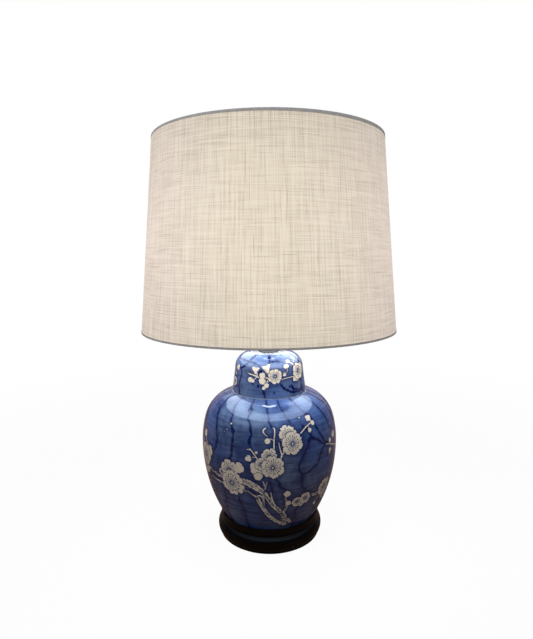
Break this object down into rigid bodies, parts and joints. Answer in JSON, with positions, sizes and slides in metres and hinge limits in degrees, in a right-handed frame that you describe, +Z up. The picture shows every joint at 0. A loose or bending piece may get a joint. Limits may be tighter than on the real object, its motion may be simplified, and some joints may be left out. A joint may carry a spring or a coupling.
{
  "type": "table lamp",
  "caption": "Table lamp with a lidded blue-and-white porcelain jar on a turned black wooden base, and a tapered linen drum shade on a harp.",
  "frame": {"origin": "on the table under the middle of the felt pad", "axes": "+Z up along the lamp's axis, -Y towards the viewer of the picture, +X to the viewer's right"},
  "size_m": [0.3809, 0.381, 0.605],
  "materials": {
    "felt": "dark pressed felt",
    "ebonised_wood": "black stained and waxed, satin",
    "cord_bushing_plastic": "moulded, matte",
    "zinc_steel": "bright zinc plate",
    "blue_white_porcelain": "cobalt wash under a clear gloss glaze",
    "rubber": "plain",
    "nickel": "satin nickel plate",
    "brass": "lacquered",
    "fibre_tube": "vulcanised fibre",
    "phenolic": "moulded phenolic",
    "black_knob": "moulded, glossy",
    "frosted_glass": "inside frosted, lit",
    "bulb_cap_metal": "rolled thread",
    "bulb_insulator_glass": "black vitrite",
    "linen": "slubby natural linen weave",
    "styrene": "white translucent sheet",
    "grey_tape": "woven grey trim tape"
  },
  "bodies": {
    "lamp": {"felt_pad": "felt", "wooden_base": "ebonised_wood", "cord_bushing": "cord_bushing_plastic", "base_washer": "zinc_steel", "base_nut": "zinc_steel", "lamp_pipe": "zinc_steel", "jar_body": "blue_white_porcelain", "jar_lid": "blue_white_porcelain", "lid_cushion": "rubber", "vase_cap": "nickel", "neck_spool": "nickel", "harp_saddle": "nickel", "socket_cap": "nickel", "set_screw": "zinc_steel", "socket_shell": "nickel", "insulating_tube": "fibre_tube", "socket_interior": "phenolic", "screw_shell": "brass", "centre_contact": "brass", "terminal_screws": "brass"},
    "switch": {"switch_spindle": "brass", "switch_knob": "black_knob"},
    "bulb": {"bulb_glass": "frosted_glass", "bulb_screw_cap": "bulb_cap_metal", "bulb_insulator": "bulb_insulator_glass", "bulb_contact": "bulb_cap_metal"},
    "harp": {"harp_wire": "nickel", "harp_stud": "nickel"},
    "right_sleeve": {"right_harp_sleeve": "nickel"},
    "left_sleeve": {"left_harp_sleeve": "nickel"},
    "shade": {"linen_cover": "linen", "shade_liner": "styrene", "top_tape": "grey_tape", "bottom_tape": "grey_tape", "top_ring": "zinc_steel", "bottom_ring": "zinc_steel", "spider_arms": "nickel", "spider_hub": "nickel"},
    "finial": {"finial": "nickel"}
  },
  "joints": [
    {"name": "switch_turn", "type": "hinge", "parent": "lamp", "child": "switch", "pos_m": [0, -0.02, 0.3312], "axis": [0, -1, 0], "continuous": true},
    {"name": "bulb_turn", "type": "hinge", "parent": "lamp", "child": "bulb", "pos_m": [0, 0, 0.355], "axis": [0, 0, 1], "continuous": true},
    {"name": "harp_lift", "type": "slide", "parent": "lamp", "child": "harp", "axis": [0, 0, 1], "range_m": [0, 0.0125]},
    {"name": "right_sleeve_lift", "type": "slide", "parent": "harp", "child": "right_sleeve", "axis": [0, 0, 1], "range_m": [0, 0.014]},
    {"name": "left_sleeve_lift", "type": "slide", "parent": "harp", "child": "left_sleeve", "axis": [0, 0, 1], "range_m": [0, 0.014]},
    {"name": "shade_turn", "type": "hinge", "parent": "harp", "child": "shade", "pos_m": [0, 0, 0.572], "axis": [0, 0, 1], "continuous": true},
    {"name": "finial_turn", "type": "hinge", "parent": "harp", "child": "finial", "pos_m": [0, 0, 0.58], "axis": [0, 0, 1], "continuous": true}
  ]
}
